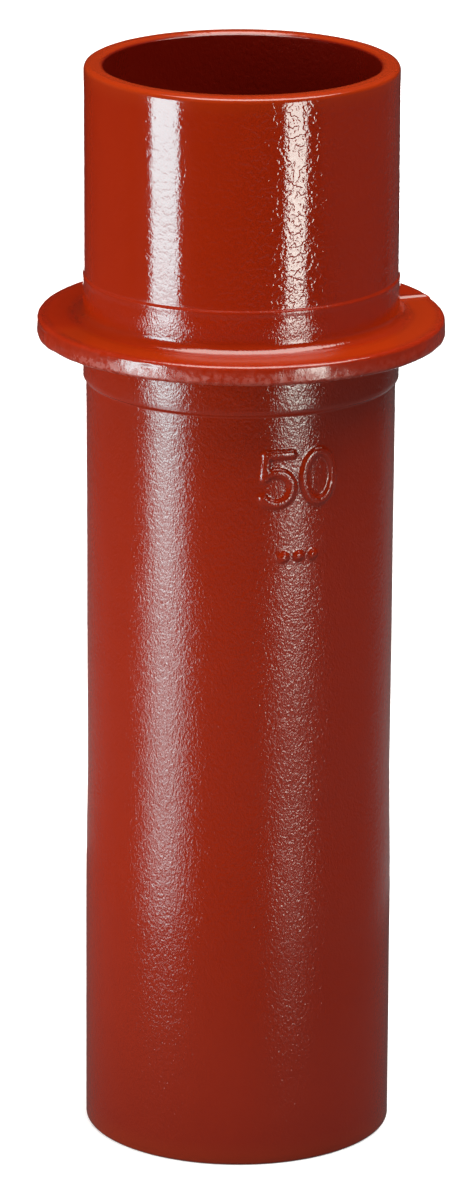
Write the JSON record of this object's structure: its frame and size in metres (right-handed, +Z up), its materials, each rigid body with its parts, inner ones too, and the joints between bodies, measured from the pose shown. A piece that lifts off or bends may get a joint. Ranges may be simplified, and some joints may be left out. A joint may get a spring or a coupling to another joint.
{
  "type": "stack support pipe",
  "caption": "Short plain-ended cast pipe with a cast support collar; anchors a vertical drain stack to a wall bracket.",
  "frame": {"origin": "centre of the lower end face, where the pipe stands", "axes": "+Z up along the pipe's axis, from the long lower end to the short upper end; the mould's parting line lies 24 degrees from +X towards +Y"},
  "size_m": [0.0758, 0.0752, 0.205],
  "materials": {
    "painted_cast_iron": "gloss"
  },
  "bodies": {
    "root": {"support_pipe": "painted_cast_iron"}
  },
  "joints": []
}
